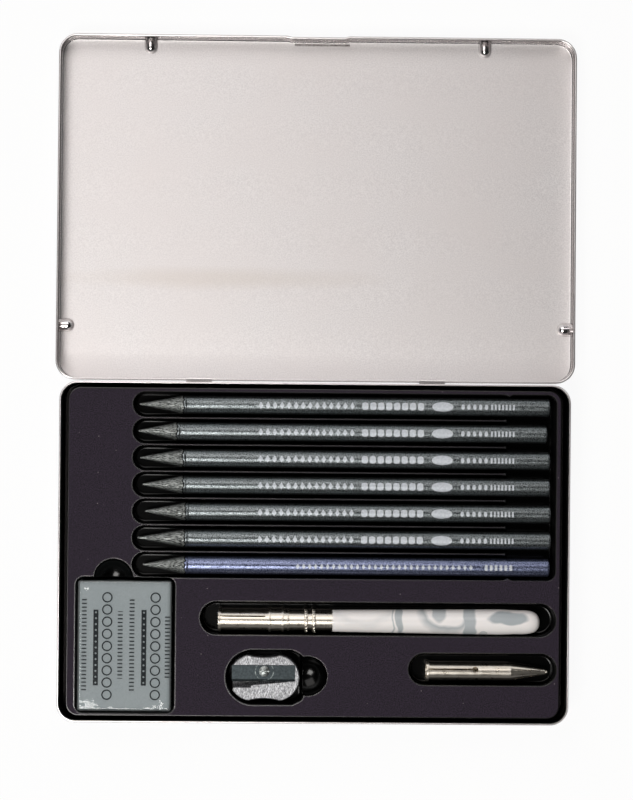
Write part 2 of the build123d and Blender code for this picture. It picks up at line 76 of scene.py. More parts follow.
# The studio: one soft lamp high at the front left and a weaker warm panel behind the lid, in a
# room with a dark ceiling, a pale wall behind and dim ones at the sides and in front, so that
# gloss that faces straight up stays black and every round piece is darker on its front side.


def colour(code):
    """The linear colour of an sRGB hex code."""
    parts = [int(code[i:i + 2], 16) / 255 for i in (1, 3, 5)]
    return (*[p / 12.92 if p <= 0.04045 else ((p + 0.055) / 1.055) ** 2.4 for p in parts], 1.0)


def feed(tree, node, values):
    """Link or set each named or numbered input of a node. A node given is its first output."""
    for socket, value in values.items():
        if isinstance(value, bpy.types.Node):
            value = value.outputs[0]
        if isinstance(value, bpy.types.NodeSocket):
            tree.links.new(value, node.inputs[socket])
        else:
            node.inputs[socket].default_value = value


def add_node(tree, kind, values=None, **settings):
    """Add one node: settings are its own options, and values feed its inputs."""
    node = tree.nodes.new(kind)
    for name, setting in settings.items():
        setattr(node, name, setting)
    feed(tree, node, values or {})
    return node


tin_middle = Vector((0.0, 0.066, 0.01))
# Each lamp: its direction from the tin, its width, height and watts, and its tint
lamps = {
    "front_left_softbox": (Vector((-0.26, -0.39, 0.88)), 0.60, 0.60, 13.0, "#fffdfa"),
    "rear_panel": (Vector((-0.25, 0.54, 0.80)), 1.30, 1.10, 9.0, "#fffbf9"),
}
lamp_distance = 1.5
for name, (towards, width, height, watts, tint) in lamps.items():
    lamp = bpy.data.lights.new(name, "AREA")
    lamp.shape = "RECTANGLE"
    lamp.size = width
    lamp.size_y = height
    lamp.energy = watts
    lamp.color = colour(tint)[:3]
    lamp_holder = add_object(name, lamp)
    turn = (-towards).to_track_quat("-Z", "Y").to_matrix().to_4x4()
    spot = tin_middle + towards.normalized() * lamp_distance
    lamp_holder.matrix_world = Matrix.Translation(spot) @ turn

world = bpy.data.worlds.new("studio_room")
world.use_nodes = True
world.node_tree.nodes.clear()
bpy.context.scene.world = world
tree = world.node_tree
wall_top = (0.35, 0.5)
front_turn = (-0.35, 0.2)
side_turn = (0.5, 0.9)
ceiling_light = 0.03
room_light = 0.13
front_wall = 0.15
side_wall = 0.4
direction = add_node(
    tree, "ShaderNodeSeparateXYZ", {0: add_node(tree, "ShaderNodeTexCoord").outputs["Generated"]}
)
# A Map Range turns its input 0 from the range 1 to 2 into 3 to 4, and a Mix blends 6 to 7 by 0.
walls = add_node(
    tree, "ShaderNodeMapRange",
    {0: direction.outputs["Z"], 1: wall_top[0], 2: wall_top[1], 3: 1.0, 4: ceiling_light},
)
frontal = add_node(
    tree, "ShaderNodeMapRange",
    {0: direction.outputs["Y"], 1: front_turn[0], 2: front_turn[1], 3: front_wall, 4: 1.0},
)
sideways = add_node(tree, "ShaderNodeMath", {0: direction.outputs["X"]}, operation="ABSOLUTE")
sideways = add_node(
    tree, "ShaderNodeMapRange",
    {0: sideways, 1: side_turn[0], 2: side_turn[1], 3: 1.0, 4: side_wall},
)
walls = add_node(tree, "ShaderNodeMath", {0: walls, 1: sideways}, operation="MULTIPLY")
path = add_node(tree, "ShaderNodeLightPath").outputs
in_gloss = add_node(
    tree, "ShaderNodeMath", {0: path["Is Glossy Ray"], 1: path["Is Transmission Ray"]},
    operation="MAXIMUM",
)
light = add_node(tree, "ShaderNodeMapRange", {0: in_gloss, 3: room_light, 4: walls})
light = add_node(tree, "ShaderNodeMath", {0: light, 1: frontal}, operation="MULTIPLY")
light = add_node(tree, "ShaderNodeMath", {0: light, 1: path["Is Camera Ray"]}, operation="MAXIMUM")
room = add_node(tree, "ShaderNodeBackground", {"Color": colour("#ffffff"), "Strength": light})
add_node(tree, "ShaderNodeOutputWorld", {"Surface": room})

# The table: white card that runs on past the view. It is matt, so it shows nothing but a faint
# shadow of the tin.


def start_material(name):
    """A new material, its node tree and its Principled shader."""
    material = bpy.data.materials.new(name)
    material.use_nodes = True
    tree = material.node_tree
    tree.nodes.clear()
    shader = add_node(tree, "ShaderNodeBsdfPrincipled")
    add_node(tree, "ShaderNodeOutputMaterial", {"Surface": shader})
    return material, tree, shader


card, tree, shader = start_material("white_card")
feed(tree, shader, {"Base Color": colour("#f6f5f4"), "Roughness": 0.85})
card_glow = 0.93
path = add_node(tree, "ShaderNodeLightPath").outputs
seen = 0.0
for ray in ("Is Camera Ray", "Is Glossy Ray", "Is Transmission Ray"):
    seen = add_node(tree, "ShaderNodeMath", {0: seen, 1: path[ray]}, operation="MAXIMUM")
share = add_node(tree, "ShaderNodeMath", {0: seen, 1: card_glow}, operation="MULTIPLY")
glow = add_node(tree, "ShaderNodeEmission", {"Color": colour("#ffffff"), "Strength": 1.0})
lit_card = add_node(tree, "ShaderNodeMixShader", {0: share, 1: shader, 2: glow})
output = next(node for node in tree.nodes if node.type == "OUTPUT_MATERIAL")
feed(tree, output, {"Surface": lit_card})
table_reach = 3.0
table_level = -0.3 * mm
corners = [(-table_reach, -table_reach), (table_reach, -table_reach),
           (table_reach, table_reach), (-table_reach, table_reach)]
table_mesh = bpy.data.meshes.new("table")
table_mesh.from_pydata([(x, y, table_level) for x, y in corners], [], [(0, 1, 2, 3)])
table_mesh.materials.append(card)
table = add_object("table", table_mesh)

# The case: base and lid are drawn from tinplate, which is steel sheet with a bright tin coat,
# and their edges are rolled into hems. Two tongues cut from the base's back wall curl round the
# lid's back edge and hinge it.


def finish_nodes(material, *names):
    """Give these nodes of the frame one finish."""
    for name in names:
        nodes[name].data.materials.clear()
        nodes[name].data.materials.append(material)


def near_middle(tree, spot, reach):
    """1 where a spot is within reach of the object's middle both along X and along Y."""
    near = 1.0
    for axis, limit in zip("XY", reach):
        close = add_node(
            tree, "ShaderNodeMath", {0: spot.outputs[axis], 1: 0.0, 2: limit}, operation="COMPARE"
        )
        near = add_node(tree, "ShaderNodeMath", {0: near, 1: close}, operation="MULTIPLY")
    return near


# The tin coat is left satin on the panels, with a grain drawn coarse enough to show, cloudy
# patches and a faint band of stain. The die has burnished the walls and stops. Painted shade
# darkens the folds, both edges of the hems, a line behind the thumb notch and the base's inside.
tinplate, tree, shader = start_material("satin_tinplate")
coordinates = add_node(tree, "ShaderNodeTexCoord").outputs
lid_low, lid_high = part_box("lid")
tin_grain = 0.55 * mm
tin_cloud = 45 * mm
stain_middle = Vector((-42.0, 117.8)) * mm
stain_reach = Vector((60.0, 4.0)) * mm
stain_slant = -0.075
fold_depth = 0.7 * mm
lid_fall = 0.0242
stop_foot = 6.0 * mm
hem_foot = 13.4 * mm
level_blur = 0.4 * mm
hinge_line = lid_low.y + 0.55 * mm
hinge_reach = 1.5 * mm
notch_middle = 1.8 * mm
notch_reach = 12.0 * mm
press_line = lid_high.y - 2.6 * mm
press_width = (0.8 * mm, 0.2 * mm)
floor_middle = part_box("base_tray")[1] - Vector((6.0, 6.0, 0.0)) * mm
floor_blur = 1.0 * mm
inward_blur = (-15 * mm, -45 * mm)
inside_shade = 0.92
panel_rough = (0.50, 0.58)
wall_rough = 0.14
hem_rough = 0.32
# The die pulls the lid's panel up toward two folds: where that starts and ends, and its rise
pulls = (
    (lid_low.y + 12.0 * mm, lid_low.y + 1.4 * mm, 1.9 * mm),
    (lid_high.y - 5.0 * mm, lid_high.y - 1.3 * mm, 0.3 * mm),
)
spot = add_node(tree, "ShaderNodeSeparateXYZ", {0: coordinates["Object"]})
# The open lid slopes, so levels on it are taken along its fall.
level = add_node(
    tree, "ShaderNodeMath", {0: spot.outputs["Y"], 1: lid_fall, 2: spot.outputs["Z"]},
    operation="MULTIPLY_ADD",
)
grain = add_node(
    tree, "ShaderNodeTexNoise",
    {"Vector": coordinates["Object"], "Scale": 1 / tin_grain, "Detail": 3.0},
)
grain = add_node(tree, "ShaderNodeMapRange", {0: grain, 1: 0.3, 2: 0.7})
cloud = add_node(
    tree, "ShaderNodeTexNoise",
    {"Vector": coordinates["Object"], "Scale": 1 / tin_cloud, "Detail": 3.0},
)
stain_place = add_node(
    tree, "ShaderNodeMapping", {0: coordinates["Object"], 1: (-stain_middle.x, -stain_middle.y, 0)}
)
stain_place = add_node(
    tree, "ShaderNodeMapping",
    {0: stain_place, 2: (0, 0, stain_slant), 3: (1 / stain_reach.x, 1 / stain_reach.y, 0)},
)
stain = add_node(
    tree, "ShaderNodeVectorMath", {0: stain_place}, operation="LENGTH"
).outputs["Value"]
stain = add_node(tree, "ShaderNodeMath", {0: stain, 1: cloud}, operation="SUBTRACT")
stain = add_node(tree, "ShaderNodeMapRange", {0: stain, 1: 0.9, 2: -0.2, 3: 0.0, 4: 0.28})
upward = add_node(tree, "ShaderNodeSeparateXYZ", {0: coordinates["Normal"]}).outputs["Z"]
facing = add_node(tree, "ShaderNodeMath", {0: upward}, operation="ABSOLUTE")
panel = add_node(tree, "ShaderNodeMapRange", {0: facing, 1: 0.86, 2: 0.95})
low_down = add_node(tree, "ShaderNodeMapRange", {0: level, 1: stop_foot + level_blur, 2: stop_foot})
panel = add_node(tree, "ShaderNodeMath", {0: panel, 1: low_down}, operation="MULTIPLY")
# Painted shade: the folds are darkened where the sheet's own shape closes in round them.
fold_shade = add_node(
    tree, "ShaderNodeAmbientOcclusion", {"Distance": fold_depth}, samples=8, only_local=True
).outputs["AO"]
fold_shade = add_node(tree, "ShaderNodeMapRange", {0: fold_shade, 1: 0.7, 2: 0.4})

# The hems' edges, darkened with painted shade away from the hinge
hem = add_node(tree, "ShaderNodeMapRange", {0: level, 1: hem_foot, 2: hem_foot + level_blur})
off_wall = add_node(tree, "ShaderNodeMapRange", {0: facing, 1: 0.05, 2: 0.15})
off_hinge = add_node(
    tree, "ShaderNodeMath", {0: spot.outputs["Y"], 1: hinge_line}, operation="SUBTRACT"
)
off_hinge = add_node(tree, "ShaderNodeMath", {0: off_hinge}, operation="ABSOLUTE")
off_hinge = add_node(
    tree, "ShaderNodeMath", {0: off_hinge, 1: hinge_reach}, operation="GREATER_THAN"
)
hem_edge_shade = add_node(tree, "ShaderNodeMapRange", {0: facing, 1: 0.85, 2: 0.6, 3: 0.0, 4: 0.85})
for mask in (off_wall, hem, off_hinge):
    hem_edge_shade = add_node(tree, "ShaderNodeMath", {0: hem_edge_shade, 1: mask}, operation="MULTIPLY")

# Painted shadow along the press line behind the thumb notch, broken by the grain
at_notch = add_node(
    tree, "ShaderNodeMath", {0: spot.outputs["X"], 1: notch_middle, 2: notch_reach},
    operation="COMPARE",
)
press_shadow = add_node(
    tree, "ShaderNodeMath", {0: spot.outputs["Y"], 1: press_line}, operation="SUBTRACT"
)
press_shadow = add_node(tree, "ShaderNodeMath", {0: press_shadow}, operation="ABSOLUTE")
press_shadow = add_node(
    tree, "ShaderNodeMapRange", {0: press_shadow, 1: press_width[0], 2: press_width[1], 3: 0.0, 4: 0.95}
)
broken = add_node(tree, "ShaderNodeMapRange", {0: grain, 3: 1.0, 4: 0.45})
press_shadow = add_node(tree, "ShaderNodeMath", {0: press_shadow, 1: broken}, operation="MULTIPLY")
edge_and_press_shade = add_node(tree, "ShaderNodeMath", {0: hem_edge_shade, 1: press_shadow}, operation="MAXIMUM")
edge_and_press_shade = add_node(tree, "ShaderNodeMapRange", {0: at_notch, 3: hem_edge_shade, 4: edge_and_press_shade})

# Painted shade on the base's inside, where the black sheet shades it and shows in it: its wall's
# inner face, and the floor beside it
inward_shade = add_node(
    tree, "ShaderNodeVectorMath", {0: coordinates["Object"], 1: (1.0, 1.0, 0.0)},
    operation="MULTIPLY",
)
inward_shade = add_node(
    tree, "ShaderNodeVectorMath", {0: inward_shade, 1: coordinates["Normal"]}, operation="DOT_PRODUCT"
).outputs["Value"]
inward_shade = add_node(
    tree, "ShaderNodeMapRange", {0: inward_shade, 1: inward_blur[0], 2: inward_blur[1], 3: 0.0, 4: inside_shade}
)
floor_shade = add_node(tree, "ShaderNodeMapRange", {0: upward, 1: 0.05, 2: 0.3, 3: 0.0, 4: inside_shade})
below_hem = add_node(tree, "ShaderNodeMapRange", {0: level, 1: hem_foot, 2: hem_foot - floor_blur})
floor_shade = add_node(tree, "ShaderNodeMath", {0: floor_shade, 1: below_hem}, operation="MULTIPLY")
middle = near_middle(tree, spot, floor_middle)
floor_shade = add_node(tree, "ShaderNodeMapRange", {0: middle, 3: floor_shade, 4: 0.0})
inside = add_node(tree, "ShaderNodeMath", {0: inward_shade, 1: floor_shade}, operation="MAXIMUM")
in_base = add_node(
    tree, "ShaderNodeMath", {0: spot.outputs["Y"], 1: lid_low.y}, operation="LESS_THAN"
)
inside = add_node(tree, "ShaderNodeMath", {0: inside, 1: in_base}, operation="MULTIPLY")

tint = colour("#d4d1d2")
# The grain, cloud and stain are the coat's own colour; the last three layers are painted shade.
tin_layers = (
    (grain, "#f4f2f2"), (cloud, "#e6e0df"), (stain, "#cbc0b4"),
    (fold_shade, "#4a403a"), (edge_and_press_shade, "#4f433d"), (inside, "#16110f"),
)
for mask, shade in tin_layers:
    tint = add_node(
        tree, "ShaderNodeMix", {0: mask, 6: tint, 7: colour(shade)}, data_type="RGBA"
    ).outputs[2]
dull = add_node(tree, "ShaderNodeMapRange", {0: grain, 3: panel_rough[0], 4: panel_rough[1]})
dull = add_node(tree, "ShaderNodeMapRange", {0: panel, 3: wall_rough, 4: dull})
dull = add_node(tree, "ShaderNodeMapRange", {0: hem, 3: dull, 4: hem_rough})
pull = 0.0
for start, end, rise in pulls:
    bend = add_node(tree, "ShaderNodeMapRange", {0: spot.outputs["Y"], 1: start, 2: end})
    bend = add_node(tree, "ShaderNodeMath", {0: bend, 1: 2.0}, operation="POWER")
    pull = add_node(tree, "ShaderNodeMath", {0: bend, 1: rise, 2: pull}, operation="MULTIPLY_ADD")
pull = add_node(tree, "ShaderNodeMath", {0: pull, 1: panel}, operation="MULTIPLY")
pulled = add_node(tree, "ShaderNodeBump", {"Height": pull, "Strength": 1.0, "Distance": 1.0})
grain_bump = add_node(
    tree, "ShaderNodeBump",
    {"Height": grain, "Strength": 0.2, "Distance": 0.05 * mm, "Normal": pulled},
)
feed(tree, shader, {
    "Base Color": tint, "Metallic": 1.0, "Roughness": dull, "Normal": grain_bump,
})
finish_nodes(tinplate, "base_tray", "lid")

# The insert: one black polystyrene sheet, drawn down over a mould by vacuum and laid loose in
# the base. The mould's texture stays on the flat deck, where dust settles, and the sheet is
# stretched smooth and glossy in the pockets.

polystyrene, tree, shader = start_material("vacuum_formed_polystyrene")
deck_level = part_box("insert_tray")[1].z
pocket_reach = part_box("insert_tray")[1] - Vector((4.5, 4.5, 0.0)) * mm
edge_polish = 0.25
deck_blur = (0.3 * mm, 0.1 * mm)
lip_radius = 0.7 * mm
lip_blur = (1.2 * mm, 0.7 * mm)
mould_texture = 0.45 * mm
dust_spacing = 5 * mm
dust_size = 0.045
place = add_node(tree, "ShaderNodeTexCoord").outputs["Object"]
spot = add_node(tree, "ShaderNodeSeparateXYZ", {0: place})
level = spot.outputs["Z"]
rounded = add_node(tree, "ShaderNodeBevel", {"Radius": lip_radius}, samples=8)
upright = add_node(tree, "ShaderNodeSeparateXYZ", {0: rounded}).outputs["Z"]
deck = add_node(
    tree, "ShaderNodeMapRange", {0: level, 1: deck_level - deck_blur[0], 2: deck_level - deck_blur[1]}
)
flat = add_node(tree, "ShaderNodeMapRange", {0: upright, 1: 0.992, 2: 0.998})
deck = add_node(tree, "ShaderNodeMath", {0: deck, 1: flat}, operation="MULTIPLY")
# Each pocket's lip is rounded and rubbed to a bright polish, and the deck's outer edge a little.
lip = add_node(
    tree, "ShaderNodeMapRange", {0: level, 1: deck_level - lip_blur[0], 2: deck_level - lip_blur[1]}
)
curved = add_node(tree, "ShaderNodeMapRange", {0: upright, 1: 0.998, 2: 0.99})
shallow = add_node(tree, "ShaderNodeMapRange", {0: upright, 1: 0.90, 2: 0.95})
polish = near_middle(tree, spot, pocket_reach)
polish = add_node(tree, "ShaderNodeMapRange", {0: polish, 3: edge_polish, 4: 1.0})
for mask in (curved, shallow, polish):
    lip = add_node(tree, "ShaderNodeMath", {0: lip, 1: mask}, operation="MULTIPLY")
texture = add_node(
    tree, "ShaderNodeTexNoise", {"Vector": place, "Scale": 1 / mould_texture, "Detail": 2.0}
)
texture = add_node(tree, "ShaderNodeMapRange", {0: texture, 1: 0.3, 2: 0.7})
dust = add_node(
    tree, "ShaderNodeTexVoronoi", {"Vector": place, "Scale": 1 / dust_spacing}
).outputs["Distance"]
dust = add_node(
    tree, "ShaderNodeMapRange", {0: dust, 1: dust_size, 2: dust_size * 0.6, 3: 0.0, 4: 0.7}
)
dust = add_node(tree, "ShaderNodeMath", {0: dust, 1: deck}, operation="MULTIPLY")
deck_tint = add_node(
    tree, "ShaderNodeMix", {0: texture, 6: colour("#0a070c"), 7: colour("#34293a")},
    data_type="RGBA",
).outputs[2]
sheet_tint = add_node(
    tree, "ShaderNodeMix", {0: deck, 6: colour("#020202"), 7: deck_tint}, data_type="RGBA"
).outputs[2]
sheet_tint = add_node(
    tree, "ShaderNodeMix", {0: dust, 6: sheet_tint, 7: colour("#a79ca0")}, data_type="RGBA"
).outputs[2]
gloss_rough = add_node(tree, "ShaderNodeMapRange", {0: polish, 1: edge_polish, 3: 0.5, 4: 0.17})
sheet_rough = add_node(tree, "ShaderNodeMapRange", {0: deck, 3: gloss_rough, 4: 0.75})
relief = add_node(tree, "ShaderNodeMath", {0: texture, 1: deck}, operation="MULTIPLY")
deck_bump = add_node(
    tree, "ShaderNodeBump",
    {"Height": relief, "Strength": 0.25, "Distance": 0.04 * mm, "Normal": rounded},
)
feed(tree, shader, {
    "Base Color": sheet_tint, "Roughness": sheet_rough, "Normal": deck_bump, "IOR": 1.55,
    "Specular IOR Level": 0.22, "Coat Weight": lip, "Coat Roughness": 0.22, "Coat IOR": 3.0,
    "Coat Tint": colour("#ffe6ee"),
})
finish_nodes(polystyrene, "insert_tray")

# The pencils: solid sticks of graphite and clay without wood, dipped in lacquer with fine
# metal flake. A knife has cut each point, which leaves grain along the cone and a ragged
# edge where the lacquer begins. The barrels carry a plain ornament stamped in silver foil.

pencil_count = 7
pencil_boxes = [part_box(f"pencil_{number}_lacquer") for number in range(1, pencil_count + 1)]
barrel_radius = (pencil_boxes[0][1].y - pencil_boxes[0][0].y) / 2
barrel_level = pencil_boxes[0][1].z - barrel_radius
barrel_lines = [(low.y + high.y) / 2 for low, high in pencil_boxes]

# Cut graphite: dark grey with a leaden shine, which the knife leaves in streaks.
graphite, tree, shader = start_material("cut_graphite")
place = add_node(tree, "ShaderNodeTexCoord").outputs["Object"]
streak_size = Vector((5.0, 0.26, 0.26)) * mm
streak_place = add_node(
    tree, "ShaderNodeMapping", {0: place, 3: [1 / size for size in streak_size]}
)
streak = add_node(tree, "ShaderNodeTexNoise", {"Vector": streak_place, "Scale": 1.0, "Detail": 4.0})
streak = add_node(tree, "ShaderNodeMapRange", {0: streak, 1: 0.4, 2: 0.6})
cone_tint = add_node(
    tree, "ShaderNodeMix", {0: streak, 6: colour("#202221"), 7: colour("#9a9e9c")},
    data_type="RGBA",
).outputs[2]
streak_bump = add_node(
    tree, "ShaderNodeBump", {"Height": streak, "Strength": 0.6, "Distance": 0.12 * mm}
)
feed(tree, shader, {
    "Base Color": cone_tint, "Metallic": 0.8, "Roughness": 0.36, "Normal": streak_bump,
})

# The lacquer's flake glitters under a smooth coat. It is drawn coarse enough to show.
flake_size = 0.38 * mm
lacquers = {}
lacquer_colours = {
    "grey_green_flake_lacquer": ("#2a2e30", "#9ba2a4"),
    "blue_grey_flake_lacquer": ("#31364d", "#a2abcd"),
}
for name, (dark, light) in lacquer_colours.items():
    lacquers[name], tree, shader = start_material(name)
    place = add_node(tree, "ShaderNodeTexCoord").outputs["Object"]
    flake = add_node(
        tree, "ShaderNodeTexNoise", {"Vector": place, "Scale": 1 / flake_size, "Detail": 2.0}
    )
    flake = add_node(tree, "ShaderNodeMapRange", {0: flake, 1: 0.35, 2: 0.65})
    flake_bump = add_node(
        tree, "ShaderNodeBump", {"Height": flake, "Strength": 0.45, "Distance": 0.035 * mm}
    )
    flake_tint = add_node(
        tree, "ShaderNodeMix", {0: flake, 6: colour(dark), 7: colour(light)}, data_type="RGBA"
    ).outputs[2]
    feed(tree, shader, {
        "Base Color": flake_tint, "Metallic": 0.95, "Roughness": 0.31, "Normal": flake_bump,
    })
grey_lacquer, blue_lacquer = lacquers.values()

# Stamping foil: pale satin silver, rubbed thin in places.
foil_wear = 0.8 * mm
foil, tree, shader = start_material("silver_stamping_foil")
place = add_node(tree, "ShaderNodeTexCoord").outputs["Object"]
rubbed = add_node(
    tree, "ShaderNodeTexNoise", {"Vector": place, "Scale": 1 / foil_wear, "Detail": 3.0}
)
foil_rough = add_node(tree, "ShaderNodeMapRange", {0: rubbed, 3: 0.5, 4: 0.65})
foil_tint = add_node(
    tree, "ShaderNodeMix", {0: rubbed, 6: colour("#a9afb6"), 7: colour("#e3e7ec")},
    data_type="RGBA",
).outputs[2]
feed(tree, shader, {"Base Color": foil_tint, "Metallic": 0.6, "Roughness": foil_rough})


def socket_id(tree, name):
    """The identifier of a named input of a geometry tree."""
    return next(item.identifier for item in tree.interface.items_tree if item.name == name)


def start_tree(name, floats=(), whole=()):
    """A geometry tree with named inputs, its input node and its output node."""
    tree = bpy.data.node_groups.new(name, "GeometryNodeTree")
    for label in floats:
        tree.interface.new_socket(label, in_out="INPUT", socket_type="NodeSocketFloat")
    for label in whole:
        tree.interface.new_socket(label, in_out="INPUT", socket_type="NodeSocketInt")
    tree.interface.new_socket("Finish", in_out="INPUT", socket_type="NodeSocketMaterial")
    tree.interface.new_socket("Mesh", in_out="OUTPUT", socket_type="NodeSocketGeometry")
    inputs = add_node(tree, "NodeGroupInput").outputs
    return tree, inputs, add_node(tree, "NodeGroupOutput")


def grow(name, tree, values):
    """Run a geometry tree with these inputs and keep its result as a plain mesh."""
    seedling = add_object(name, bpy.data.meshes.new(name))
    modifier = seedling.modifiers.new("grow", "NODES")
    modifier.node_group = tree
    for label, value in values.items():
        modifier[socket_id(tree, label)] = value
    grown = bpy.data.meshes.new_from_object(
        seedling.evaluated_get(bpy.context.evaluated_depsgraph_get())
    )
    seedling.modifiers.remove(modifier)
    seedling.data = grown
    return seedling


# Stamped marks: a row of small plates, each a square pulled to a lozenge, an oval or a bar by
# the power of its outline, and bent round the barrel.
stamp_inputs = ("Start", "Pitch", "Width", "Height", "Power", "Line", "Level", "Radius")
stamp, given, finished = start_tree("foil_stamp", stamp_inputs, ("Count",))
plate = add_node(
    stamp, "GeometryNodeMeshGrid",
    {"Size X": 1.0, "Size Y": 2.0, "Vertices X": 5, "Vertices Y": 17},
)
spot = add_node(stamp, "ShaderNodeSeparateXYZ", {0: add_node(stamp, "GeometryNodeInputPosition")})
across = add_node(stamp, "ShaderNodeMath", {0: spot.outputs["Y"]}, operation="ABSOLUTE")
across = add_node(stamp, "ShaderNodeMath", {0: across, 1: given["Power"]}, operation="POWER")
across = add_node(stamp, "ShaderNodeMath", {0: 1.0, 1: across}, operation="SUBTRACT")
root = add_node(stamp, "ShaderNodeMath", {0: 1.0, 1: given["Power"]}, operation="DIVIDE")
waist = add_node(stamp, "ShaderNodeMath", {0: across, 1: root}, operation="POWER")
plate_x = add_node(stamp, "ShaderNodeMath", {0: spot.outputs["X"], 1: waist}, operation="MULTIPLY")
plate_x = add_node(stamp, "ShaderNodeMath", {0: plate_x, 1: given["Width"]}, operation="MULTIPLY")
plate_y = add_node(
    stamp, "ShaderNodeMath", {0: spot.outputs["Y"], 1: given["Height"]}, operation="MULTIPLY"
)
plate_y = add_node(stamp, "ShaderNodeMath", {0: plate_y, 1: 0.5}, operation="MULTIPLY")
outline = add_node(stamp, "ShaderNodeCombineXYZ", {"X": plate_x, "Y": plate_y})
plate = add_node(stamp, "GeometryNodeSetPosition", {"Geometry": plate, "Position": outline})
row_start = add_node(stamp, "ShaderNodeCombineXYZ", {"X": given["Start"]})
row_step = add_node(stamp, "ShaderNodeCombineXYZ", {"X": given["Pitch"]})
row = add_node(
    stamp, "GeometryNodeMeshLine",
    {"Count": given["Count"], "Start Location": row_start, "Offset": row_step},
)
row = add_node(stamp, "GeometryNodeInstanceOnPoints", {"Points": row, "Instance": plate})
row = add_node(stamp, "GeometryNodeRealizeInstances", {"Geometry": row})
flat = add_node(stamp, "ShaderNodeSeparateXYZ", {0: add_node(stamp, "GeometryNodeInputPosition")})
turn = add_node(
    stamp, "ShaderNodeMath", {0: flat.outputs["Y"], 1: given["Radius"]}, operation="DIVIDE"
)
side = add_node(stamp, "ShaderNodeMath", {0: turn}, operation="SINE")
side = add_node(
    stamp, "ShaderNodeMath",
    {0: side, 1: given["Radius"], 2: given["Line"]}, operation="MULTIPLY_ADD",
)
rise = add_node(stamp, "ShaderNodeMath", {0: turn}, operation="COSINE")
rise = add_node(
    stamp, "ShaderNodeMath",
    {0: rise, 1: given["Radius"], 2: given["Level"]}, operation="MULTIPLY_ADD",
)
bent = add_node(stamp, "ShaderNodeCombineXYZ", {"X": flat.outputs["X"], "Y": side, "Z": rise})
row = add_node(stamp, "GeometryNodeSetPosition", {"Geometry": row, "Position": bent})
row = add_node(stamp, "GeometryNodeSetMaterial", {"Geometry": row, "Material": given["Finish"]})
feed(stamp, finished, {0: row})

foil_lift = 0.02 * mm
# Each row: the first mark's place, the count, pitch, width, height and outline power
grey_marks = (
    (-23.3, 14, 3.0, 2.1, 3.3, 1.0),
    (21.2, 8, 3.4, 2.7, 3.5, 3.0),
    (54.3, 1, 9.0, 9.0, 4.4, 2.0),
    (63.0, 5, 2.5, 1.5, 2.4, 2.0),
    (75.4, 7, 1.55, 0.8, 2.5, 6.0),
)
blue_marks = (
    (-7.0, 30, 2.55, 1.5, 2.6, 1.0),
    (73.5, 6, 2.1, 1.2, 2.6, 6.0),
)


def merge(name, pieces):
    """Join pieces into one object of this name."""
    whole = bmesh.new()
    for piece in pieces:
        whole.from_mesh(piece.data)
    mesh = bpy.data.meshes.new(name)
    whole.to_mesh(mesh)
    whole.free()
    for material in pieces[0].data.materials:
        mesh.materials.append(material)
    for piece in pieces:
        bpy.data.objects.remove(piece)
    return add_object(name, mesh)


def face_rings(shape, rings):
    """Join each ring of points to the next, and give each new face with its place on the ring."""
    for here, after in zip(rings, rings[1:] + rings[:1]):
        for station in range(len(here)):
            beyond = (station + 1) % len(here)
            loop = (here[station], here[beyond], after[beyond], after[station])
            yield station, shape.faces.new(loop)


def close_shape(name, shape, *finishes):
    """Turn a shape's faces outward and make it an object with these finishes."""
    bmesh.ops.recalc_face_normals(shape, faces=shape.faces)
    mesh = bpy.data.meshes.new(name)
    shape.to_mesh(mesh)
    shape.free()
    for finish in finishes:
        mesh.materials.append(finish)
    return add_object(name, mesh)


for index in range(pencil_count):
    marks = blue_marks if index == pencil_count - 1 else grey_marks
    rows = []
    for start, count, pitch, width, height, power in marks:
        rows.append(grow("foil_row", stamp, {
            "Start": start * mm, "Count": count, "Pitch": pitch * mm, "Width": width * mm,
            "Height": height * mm, "Power": power, "Line": barrel_lines[index],
            "Level": barrel_level, "Radius": barrel_radius + foil_lift, "Finish": foil,
        }))
    ornament = merge(f"pencil_{index + 1}_ornament", rows)
    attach(ornament, f"pencil_{index + 1}")

